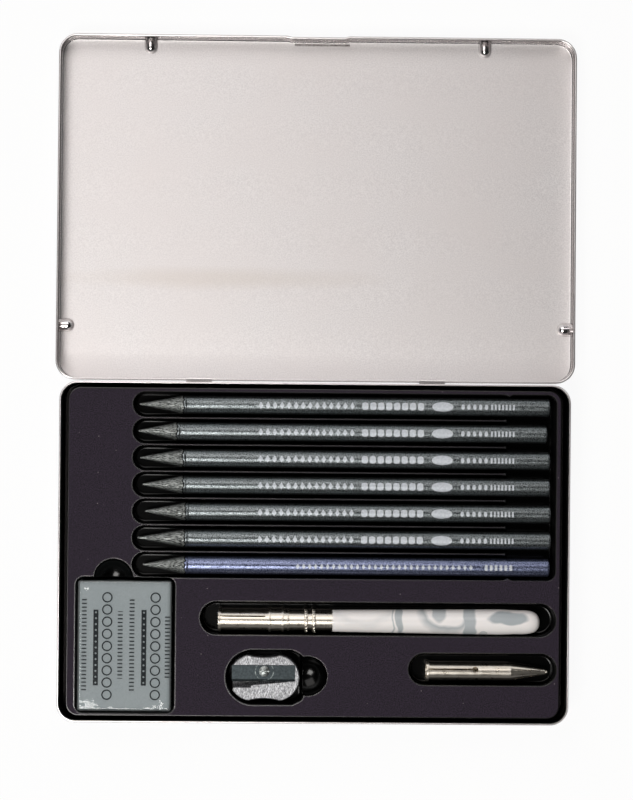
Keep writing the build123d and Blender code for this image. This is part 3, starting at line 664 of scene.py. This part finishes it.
# The knife's cut through the coat: bare graphite up to a ragged dark line, then the lacquer.
# It lies over the coat's slanting front, which carries the cone on up to the full barrel.
cut_edge, tree, shader = start_material("cut_lacquer_edge")
feed(tree, shader, {
    "Base Color": colour("#050506"), "Roughness": 0.7, "Specular IOR Level": 0.0,
})
coat = 0.2 * mm
coat_lap = 0.1 * mm
cone_rise = 0.185
ragged = 0.55 * mm
cut_line = 0.5 * mm
collar_tail = 1.8 * mm
collar_lift = 0.03 * mm
collar_depth = 0.12 * mm
tail_sink = 0.01 * mm
collar_steps = 96
cone_parts = 4
wave_counts = (3, 5, 8, 13)
chance = Random(7)
for index in range(pencil_count):
    coat_front = pencil_boxes[index][0].x
    full_width = coat_front + coat / cone_rise
    waves = [(count, chance.uniform(0, 2 * pi), chance.uniform(0.4, 1.0)) for count in wave_counts]
    total = sum(size for _, _, size in waves)
    collar = bmesh.new()
    rings = []
    for step in range(collar_steps):
        angle = 2 * pi * step / collar_steps
        wave = sum(size * sin(count * angle + shift) for count, shift, size in waves) / total
        front = full_width + ragged * wave
        start = coat_front - coat_lap
        marks = [start + (front - start) * part / cone_parts for part in range(cone_parts + 1)]
        marks += [front + cut_line, front + 2 * cut_line, full_width + collar_tail]
        outside = [
            (x, barrel_radius - max(0.0, full_width - x) * cone_rise + collar_lift) for x in marks
        ]
        outside[-1] = (outside[-1][0], barrel_radius - tail_sink)
        inside = [(x, radius - collar_depth) for x, radius in (outside[-1], outside[0])]
        rings.append([
            collar.verts.new((
                x, barrel_lines[index] + radius * sin(angle), barrel_level + radius * cos(angle)
            ))
            for x, radius in outside + inside
        ])
    for station, face in face_rings(collar, rings):
        face.smooth = station < len(outside) - 1
        face.material_index = 0 if station < cone_parts else 1 if station == cone_parts else 2
    lacquer = blue_lacquer if index == pencil_count - 1 else grey_lacquer
    collar_piece = close_shape(f"pencil_{index + 1}_collar", collar, graphite, cut_edge, lacquer)
    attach(collar_piece, f"pencil_{index + 1}")
    finish_nodes(graphite, f"pencil_{index + 1}_graphite")
    finish_nodes(lacquer, f"pencil_{index + 1}_lacquer")

# The eraser: a slab of soft grey putty, heat sealed in clear film. The film is drawn tight over
# the slab and puckered into folds at both ends. It is printed with plain bars, rings and ticks.

eraser_low, eraser_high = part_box("eraser_wrap")
eraser_middle = (eraser_low + eraser_high) / 2
eraser_half = (eraser_high - eraser_low) / 2
weld = 0.01 * mm


def soft_slab(name, finish, half, corner, step, shift):
    """A closed slab with round edges whose points are moved by shift(point, outward)."""
    counts = [max(2, round(2 * size / step)) for size in half]
    slab = bmesh.new()
    seen = {}

    def vertex(point):
        key = tuple(round(value / weld) for value in point)
        if key not in seen:
            core = Vector([
                max(-size + corner, min(size - corner, value)) for value, size in zip(point, half)
            ])
            outward = (Vector(point) - core).normalized()
            place = core + outward * corner
            seen[key] = slab.verts.new(eraser_middle + place + shift(place, outward))
        return seen[key]

    for axis in range(3):
        first, second = [other for other in range(3) if other != axis]
        for sign in (-1, 1):
            for i in range(counts[first]):
                for j in range(counts[second]):
                    loop = []
                    for di, dj in ((0, 0), (1, 0), (1, 1), (0, 1)):
                        point = [0.0, 0.0, 0.0]
                        point[axis] = sign * half[axis]
                        point[first] = -half[first] + 2 * half[first] * (i + di) / counts[first]
                        point[second] = -half[second] + 2 * half[second] * (j + dj) / counts[second]
                        loop.append(vertex(point))
                    slab.faces.new(loop).smooth = True
    return close_shape(name, slab, finish)


dent_depth = 0.18
dent_spacing = 9 * mm


def putty_dents(place, outward):
    """Shallow thumb marks in the putty."""
    return outward * dent_depth * mm * noise.noise(place / dent_spacing)


# Puffs of film: place across and along the slab from its middle, their spread and height
puffs = (
    (-15.0, -23.4, 3.2, 1.9, 0.75),
    (16.6, -23.6, 1.3, 2.6, 0.6),
    (13.8, -25.4, 1.2, 0.9, 0.5),
    (-17.8, -25.6, 1.4, 0.9, 0.4),
    (-16.0, 25.2, 1.8, 0.7, 0.3),
)
fold_line = 24.6 * mm
fold_reach = 3.0 * mm
pucker_spacing = 2.6 * mm
pucker_depth = 0.10 * mm
pucker_level = 0.9
slack_spacing = 6 * mm
slack_depth = 0.04 * mm
puff_share = 0.5
puff_crinkle = 1.1 * mm
crease_wander = (0.7 * mm, 8 * mm)
crease_width = 0.5 * mm
crease_rise = 0.015 * mm


def film_folds(place, outward):
    """Folds and puffs of the film: fine puckers at the ends, and a crease along the top end."""
    near_end = max(0.0, abs(place.y) - eraser_half.y + fold_reach) / fold_reach
    pucker = noise.ridged_multi_fractal(
        place / pucker_spacing, 0.9, 2.1, 3, 1.0, 2.0, noise_basis="PERLIN_ORIGINAL"
    )
    lift = pucker_depth * near_end * (pucker - pucker_level)
    lift += slack_depth * noise.noise(place / slack_spacing)
    for across, along, wide, long, high in puffs:
        away = ((place.x / mm - across) / wide) ** 2 + ((place.y / mm - along) / long) ** 2
        crinkle = 0.8 + 0.5 * noise.noise(place / puff_crinkle)
        lift += high * puff_share * mm * exp(-away) * crinkle
    wander = crease_wander[0] * noise.noise(Vector((place.x, 0, 0)) / crease_wander[1])
    crease = exp(-(((place.y - fold_line - wander) / crease_width) ** 2))
    return outward * (lift + crease_rise * crease)


# Kneadable putty: matt and soft, a grey that is mottled where it has been pressed.
speck_size = 0.9 * mm
patch_size = 14 * mm
putty, tree, shader = start_material("kneadable_putty")
place = add_node(tree, "ShaderNodeTexCoord").outputs["Object"]
speck = add_node(
    tree, "ShaderNodeTexNoise", {"Vector": place, "Scale": 1 / speck_size, "Detail": 4.0}
)
patch = add_node(
    tree, "ShaderNodeTexNoise", {"Vector": place, "Scale": 1 / patch_size, "Detail": 2.0}
)
putty_tint = add_node(
    tree, "ShaderNodeMix", {0: speck, 6: colour("#8b9497"), 7: colour("#b6bfc1")}, data_type="RGBA"
).outputs[2]
putty_tint = add_node(
    tree, "ShaderNodeMix", {0: patch, 6: putty_tint, 7: colour("#98a3a7")}, data_type="RGBA"
).outputs[2]
feed(tree, shader, {"Base Color": putty_tint, "Roughness": 0.75})
film_gap = 0.3 * mm
putty_round = 1.0 * mm
putty_step = 1.6 * mm
putty_half = eraser_half - Vector((1, 1, 1)) * 2 * film_gap
putty_piece = soft_slab("putty_slab", putty, putty_half, putty_round, putty_step, putty_dents)
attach(putty_piece, "eraser")
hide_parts("eraser_putty")

# Clear film: a thin bright gloss that shows the putty between the dark bars of its print.
film, tree, shader = start_material("printed_clear_film")
place = add_node(tree, "ShaderNodeTexCoord").outputs["Object"]
spot = add_node(tree, "ShaderNodeSeparateXYZ", {0: place})
printed = 0.0
# Each print column: its marks' kind, its place, its first and last mark, and their pitch
columns = (
    ("bar", -93.0, -57.3, -25.0, 2.5),
    ("bar", -72.5, -57.3, -25.0, 2.5),
    ("rings", -88.2, -63.9, -17.1, 5.2),
    ("rings", -67.6, -63.9, -17.1, 5.2),
    ("ticks", -98.0, -59.6, -20.4, 1.6),
    ("ticks", -82.6, -54.4, -25.6, 1.6),
    ("ticks", -77.6, -59.6, -20.4, 1.6),
    ("ticks", -62.4, -54.4, -27.2, 1.6),
)
mark_half_width = 1.05 * mm
bar_hole = 0.42 * mm
ring_radius = 1.95 * mm
ring_line = 0.26 * mm
tick_line = 0.26 * mm
print_depth = 1.2 * mm
for kind, line, first, last, pitch in columns:
    across = add_node(
        tree, "ShaderNodeMath", {0: spot.outputs["X"], 1: line * mm}, operation="SUBTRACT"
    )
    across = add_node(tree, "ShaderNodeMath", {0: across}, operation="ABSOLUTE")
    along = add_node(
        tree, "ShaderNodeMath", {0: spot.outputs["Y"], 1: (first + last) / 2 * mm},
        operation="SUBTRACT",
    )
    reach = add_node(tree, "ShaderNodeMath", {0: along}, operation="ABSOLUTE")
    inside = add_node(
        tree, "ShaderNodeMath", {0: reach, 1: (last - first) / 2 * mm}, operation="LESS_THAN"
    )
    beat = add_node(tree, "ShaderNodeMath", {0: along, 1: pitch / 2 * mm}, operation="PINGPONG")
    from_mark = add_node(tree, "ShaderNodeCombineXYZ", {0: across, 1: beat})
    from_mark = add_node(
        tree, "ShaderNodeVectorMath", {0: from_mark}, operation="LENGTH"
    ).outputs["Value"]
    if kind == "rings":
        mark = add_node(
            tree, "ShaderNodeMath", {0: from_mark, 1: ring_radius, 2: ring_line},
            operation="COMPARE",
        )
    else:
        if kind == "bar":
            mark = add_node(
                tree, "ShaderNodeMath", {0: from_mark, 1: bar_hole}, operation="GREATER_THAN"
            )
        else:
            mark = add_node(tree, "ShaderNodeMath", {0: beat, 1: tick_line}, operation="LESS_THAN")
        stripe = add_node(
            tree, "ShaderNodeMath", {0: across, 1: mark_half_width}, operation="LESS_THAN"
        )
        mark = add_node(tree, "ShaderNodeMath", {0: stripe, 1: mark}, operation="MULTIPLY")
    mark = add_node(tree, "ShaderNodeMath", {0: mark, 1: inside}, operation="MULTIPLY")
    printed = add_node(tree, "ShaderNodeMath", {0: printed, 1: mark}, operation="MAXIMUM")
upper = add_node(
    tree, "ShaderNodeMath", {0: spot.outputs["Z"], 1: eraser_high.z - print_depth},
    operation="GREATER_THAN",
)
printed = add_node(tree, "ShaderNodeMath", {0: printed, 1: upper}, operation="MULTIPLY")
film_alpha = add_node(tree, "ShaderNodeMapRange", {0: printed, 3: 0.28, 4: 0.9})
film_tint = add_node(
    tree, "ShaderNodeMix", {0: printed, 6: colour("#b6bec0"), 7: colour("#22272a")},
    data_type="RGBA",
).outputs[2]
feed(tree, shader, {
    "Base Color": film_tint, "Roughness": 0.09, "Alpha": film_alpha, "IOR": 1.5,
    "Specular IOR Level": 1.0, "Coat Weight": 1.0, "Coat Roughness": 0.04,
})
film_round = 0.9 * mm
film_step = 0.55 * mm
film_piece = soft_slab("film_wrap", film, eraser_half, film_round, film_step, film_folds)
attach(film_piece, "eraser")
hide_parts("eraser_wrap")

# The extender: a turned acrylic handle, marbled ivory and grey, pressed into a nickel-plated
# brass ferrule. Its split jaws hold a short pencil when the ring slides up over them.

acrylic, tree, shader = start_material("marbled_ivory_acrylic")
marble_swirl = 5 * mm
swirl_reach = 2.6 * mm
place = add_node(tree, "ShaderNodeTexCoord").outputs["Object"]
swirl = add_node(
    tree, "ShaderNodeTexNoise", {"Vector": place, "Scale": 1 / marble_swirl, "Detail": 0.5}
).outputs["Color"]
swirl = add_node(tree, "ShaderNodeVectorMath", {0: swirl, 1: (0.5, 0.5, 0.5)}, operation="SUBTRACT")
swirl = add_node(tree, "ShaderNodeVectorMath", {0: swirl, 3: swirl_reach}, operation="SCALE")
swirled = add_node(tree, "ShaderNodeVectorMath", {0: place, 1: swirl}, operation="ADD")
# Grey clouds in the ivory: place along and across the handle, half length, half width, how far
# out the cloud is hollow, and its strength
clouds = (
    (21.0, -15.5, 16.0, 15.0, 0.96, 0.3),
    (34.1, -29.1, 0.4, 20.0, 0.0, 0.6),
    (36.8, -26.5, 1.6, 8.5, 0.0, 0.8),
    (56.8, -22.6, 11.8, 10.8, 0.86, 0.75),
    (53.8, -24.4, 3.0, 5.0, 0.0, 0.7),
    (66.8, -29.1, 2.8, 20.0, 0.0, 0.8),
    (72.4, -33.9, 1.8, 1.2, 0.0, 0.5),
    (82.9, -27.3, 8.3, 2.9, 0.0, 0.85),
)
cloud_edge = 0.13
grey_part = 0.0
for along, across, half_length, half_width, hollow, strength in clouds:
    cloud_place = add_node(
        tree, "ShaderNodeVectorMath", {0: swirled, 1: (along * mm, across * mm, 0.0)},
        operation="SUBTRACT",
    )
    cloud_place = add_node(
        tree, "ShaderNodeVectorMath",
        {0: cloud_place, 1: (1 / (half_length * mm), 1 / (half_width * mm), 0.0)},
        operation="MULTIPLY",
    )
    away = add_node(
        tree, "ShaderNodeVectorMath", {0: cloud_place}, operation="LENGTH"
    ).outputs["Value"]
    grey = add_node(
        tree, "ShaderNodeMapRange",
        {0: away, 1: 1 + cloud_edge, 2: 1 - cloud_edge, 3: 0.0, 4: strength},
    )
    outer = add_node(tree, "ShaderNodeMapRange", {0: away, 1: hollow - cloud_edge, 2: hollow})
    grey = add_node(tree, "ShaderNodeMath", {0: grey, 1: outer}, operation="MULTIPLY")
    grey_part = add_node(tree, "ShaderNodeMath", {0: grey_part, 1: grey}, operation="MAXIMUM")
marble = add_node(
    tree, "ShaderNodeMix", {0: grey_part, 6: colour("#fbf7f5"), 7: colour("#a3adb2")},
    data_type="RGBA",
).outputs[2]
feed(tree, shader, {
    "Base Color": marble, "Roughness": 0.18, "IOR": 1.49, "Subsurface Weight": 0.08,
    "Subsurface Radius": (1.0, 0.9, 0.8), "Subsurface Scale": 1.0 * mm,
})
finish_nodes(acrylic, "extender_handle")

# Nickel plate: a warm bright metal, softened by handling, with painted brown shade in its corners and
# recesses.
nickel_wear = 2.5 * mm
recess_shade_reach = 3.0 * mm
nickel, tree, shader = start_material("nickel_plate")
place = add_node(tree, "ShaderNodeTexCoord").outputs["Object"]
wear = add_node(
    tree, "ShaderNodeTexNoise", {"Vector": place, "Scale": 1 / nickel_wear, "Detail": 1.0}
)
nickel_tint = add_node(
    tree, "ShaderNodeMix", {0: wear, 6: colour("#e6dccb"), 7: colour("#f6f0e6")}, data_type="RGBA"
).outputs[2]
# Painted shade: the plate is darkened brown where its own shape closes in round it.
open_air = add_node(
    tree, "ShaderNodeAmbientOcclusion", {"Distance": recess_shade_reach}, samples=8, only_local=True
).outputs["AO"]
open_air = add_node(tree, "ShaderNodeMapRange", {0: open_air, 1: 0.15, 2: 0.45})
nickel_tint = add_node(
    tree, "ShaderNodeMix", {0: open_air, 6: colour("#1d1813"), 7: nickel_tint}, data_type="RGBA"
).outputs[2]
nickel_rough = add_node(tree, "ShaderNodeMapRange", {0: wear, 1: 0.3, 2: 0.7, 3: 0.27, 4: 0.33})
ripple = add_node(tree, "ShaderNodeBump", {"Height": wear, "Strength": 0.1, "Distance": 0.05 * mm})
feed(tree, shader, {
    "Base Color": nickel_tint, "Metallic": 1.0, "Roughness": nickel_rough, "Normal": ripple,
})
finish_nodes(nickel, "extender_ferrule", "extender_jaws", "extender_ring", "point_protector")

# Knurls: slanting ridges rolled into the ferrule's two beads.
knurl, given, finished = start_tree("knurl_ring", ("Radius", "Length", "Breadth", "Slant"), ("Count",))
ring = add_node(
    knurl, "GeometryNodeMeshCircle", {"Vertices": given["Count"], "Radius": given["Radius"]}
)
ridge = add_node(knurl, "GeometryNodeMeshIcoSphere", {"Radius": 0.5, "Subdivisions": 3})
ridge_size = add_node(
    knurl, "ShaderNodeCombineXYZ",
    {"X": given["Breadth"], "Y": given["Breadth"], "Z": given["Length"]},
)
ridge = add_node(knurl, "GeometryNodeTransform", {"Geometry": ridge, "Scale": ridge_size})
lean = add_node(knurl, "ShaderNodeCombineXYZ", {"X": given["Slant"]})
ridge = add_node(knurl, "GeometryNodeTransform", {"Geometry": ridge, "Rotation": lean})
outwards = add_node(
    knurl, "FunctionNodeAlignRotationToVector",
    {"Vector": add_node(knurl, "GeometryNodeInputPosition")}, axis="X",
)
ridges = add_node(
    knurl, "GeometryNodeInstanceOnPoints",
    {"Points": ring, "Instance": ridge, "Rotation": outwards},
)
ridges = add_node(knurl, "GeometryNodeRealizeInstances", {"Geometry": ridges})
ridges = add_node(
    knurl, "GeometryNodeSetMaterial", {"Geometry": ridges, "Material": given["Finish"]}
)
feed(knurl, finished, {0: ridges})

jaws_low, jaws_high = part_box("extender_jaws")
extender_axis = (jaws_low + jaws_high) / 2
bead_lines = (-3.2 * mm, 0.1 * mm)
rings = []
for bead in bead_lines:
    bead_ring = grow("bead_ring", knurl, {
        "Radius": 4.62 * mm, "Length": 1.75 * mm, "Breadth": 0.85 * mm, "Slant": radians(32),
        "Count": 18, "Finish": nickel,
    })
    upright = Matrix.Translation((bead, extender_axis.y, extender_axis.z))
    bead_ring.data.transform(upright @ Matrix.Rotation(radians(90), 4, "Y"))
    rings.append(bead_ring)
knurls = merge("extender_knurls", rings)
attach(knurls, "extender")

# Rims: fine rolled edges at the mouths, at both ends of the clamping ring and at the shoulder.
rim_steps = (64, 16)
shoulder_radius = 4.35 * mm
mouth_low, mouth_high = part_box("point_protector")
ring_low, ring_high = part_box("extender_ring")
shoulder_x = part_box("extender_ferrule")[0].x
tip_axis = (mouth_low + mouth_high) / 2
clamp_radius = (ring_high.y - ring_low.y) / 2
# Each rim: its body, the middle of its flange, the flange's radius and half width, and its rise
rim_lines = {
    "extender_mouth_rim": (
        "extender", jaws_low.x + 0.57 * mm, (jaws_high.y - jaws_low.y) / 2, 0.5 * mm, 0.12 * mm
    ),
    "extender_shoulder_rim": (
        "extender", shoulder_x + 0.4 * mm, shoulder_radius, 0.38 * mm, 0.12 * mm
    ),
    "clamp_left_rim": ("extender_ring", ring_low.x + 0.5 * mm, clamp_radius, 0.46 * mm, 0.12 * mm),
    "clamp_right_rim": ("extender_ring", ring_high.x - 0.5 * mm, clamp_radius, 0.46 * mm, 0.12 * mm),
    "protector_mouth_rim": (
        "point_protector", mouth_low.x + 0.55 * mm, (mouth_high.y - mouth_low.y) / 2, 0.5 * mm,
        0.05 * mm,
    ),
}
for name, (body, along, radius, half_width, rise) in rim_lines.items():
    axis = tip_axis if body == "point_protector" else extender_axis
    rim = bmesh.new()
    turns = []
    for step in range(rim_steps[0]):
        angle = 2 * pi * step / rim_steps[0]
        turn = []
        for part in range(rim_steps[1]):
            lean = 2 * pi * part / rim_steps[1]
            reach = radius + rise - half_width + half_width * cos(lean)
            turn.append(rim.verts.new((
                along + half_width * sin(lean),
                axis.y + reach * sin(angle), axis.z + reach * cos(angle),
            )))
        turns.append(turn)
    for _, face in face_rings(rim, turns):
        face.smooth = True
    rim_piece = close_shape(name, rim, nickel)
    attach(rim_piece, body)

# The sharpener: a block of magnesium alloy sawn from a drawn bar, which leaves its faces
# sparkling with coarse grain. Its hardened steel blade is ground on the cutting edge and
# clamped by one round-headed screw.

alloy, tree, shader = start_material("sawn_magnesium_alloy")
place = add_node(tree, "ShaderNodeTexCoord").outputs["Object"]
saw_size = Vector((0.3, 1.1, 0.6)) * mm
saw_turn = radians(-22)
saw_place = add_node(
    tree, "ShaderNodeMapping", {0: place, 2: (0, 0, saw_turn), 3: [1 / size for size in saw_size]}
)
saw = add_node(
    tree, "ShaderNodeTexNoise", {"Vector": saw_place, "Scale": 1.0, "Detail": 3.0, "Roughness": 0.65}
)
saw = add_node(tree, "ShaderNodeMapRange", {0: saw, 1: 0.38, 2: 0.62})
saw_tint = add_node(
    tree, "ShaderNodeMix", {0: saw, 6: colour("#727377"), 7: colour("#e2e3e6")}, data_type="RGBA"
).outputs[2]
saw_bump = add_node(tree, "ShaderNodeBump", {"Height": saw, "Strength": 0.8, "Distance": 0.08 * mm})
feed(tree, shader, {
    "Base Color": saw_tint, "Metallic": 1.0, "Roughness": 0.46, "Normal": saw_bump,
})
finish_nodes(alloy, "sharpener_body")

# Blade steel: dark bare metal with a faint scale, worn bright in a ring round the screw.
scale_size = 0.9 * mm
rub_radius = 3.9 * mm
rub_line = 0.16 * mm
steel, tree, shader = start_material("hardened_blade_steel")
place = add_node(tree, "ShaderNodeTexCoord").outputs["Object"]
scale_marks = add_node(
    tree, "ShaderNodeTexNoise", {"Vector": place, "Scale": 1 / scale_size, "Detail": 4.0}
)
screw_low, screw_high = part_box("sharpener_screw")
screw_middle = (screw_low + screw_high) / 2
from_screw = add_node(
    tree, "ShaderNodeVectorMath",
    {0: place, 1: (screw_middle.x, screw_middle.y, 0.0)}, operation="SUBTRACT",
)
from_screw = add_node(
    tree, "ShaderNodeVectorMath", {0: from_screw, 1: (1.0, 1.0, 0.0)}, operation="MULTIPLY"
)
from_screw = add_node(
    tree, "ShaderNodeVectorMath", {0: from_screw}, operation="LENGTH"
).outputs["Value"]
rub_ring = add_node(
    tree, "ShaderNodeMath", {0: from_screw, 1: rub_radius, 2: rub_line}, operation="COMPARE"
)
worn = add_node(tree, "ShaderNodeMapRange", {0: scale_marks, 1: 0.4, 2: 0.65, 3: 0.0, 4: 0.5})
rub_ring = add_node(tree, "ShaderNodeMath", {0: rub_ring, 1: worn}, operation="MULTIPLY")
steel_tint = add_node(
    tree, "ShaderNodeMix", {0: scale_marks, 6: colour("#1f2426"), 7: colour("#4c5356")},
    data_type="RGBA",
).outputs[2]
steel_tint = add_node(
    tree, "ShaderNodeMix", {0: rub_ring, 6: steel_tint, 7: colour("#b9c2c0")}, data_type="RGBA"
).outputs[2]
feed(tree, shader, {"Base Color": steel_tint, "Metallic": 1.0, "Roughness": 0.36})
finish_nodes(steel, "sharpener_blade")

# Zinc plate: a dimpled grey shine on the screw's round head.
dimple_size = 0.8 * mm
plated, tree, shader = start_material("zinc_plated_screw_steel")
place = add_node(tree, "ShaderNodeTexCoord").outputs["Object"]
dimple = add_node(
    tree, "ShaderNodeTexNoise", {"Vector": place, "Scale": 1 / dimple_size, "Detail": 3.0}
)
zinc_tint = add_node(
    tree, "ShaderNodeMix", {0: dimple, 6: colour("#6c7372"), 7: colour("#b4b8b6")},
    data_type="RGBA",
).outputs[2]
dimple_bump = add_node(
    tree, "ShaderNodeBump", {"Height": dimple, "Strength": 0.5, "Distance": 0.2 * mm}
)
feed(tree, shader, {
    "Base Color": zinc_tint, "Metallic": 1.0, "Roughness": 0.4, "Normal": dimple_bump,
})
finish_nodes(plated, "sharpener_screw")
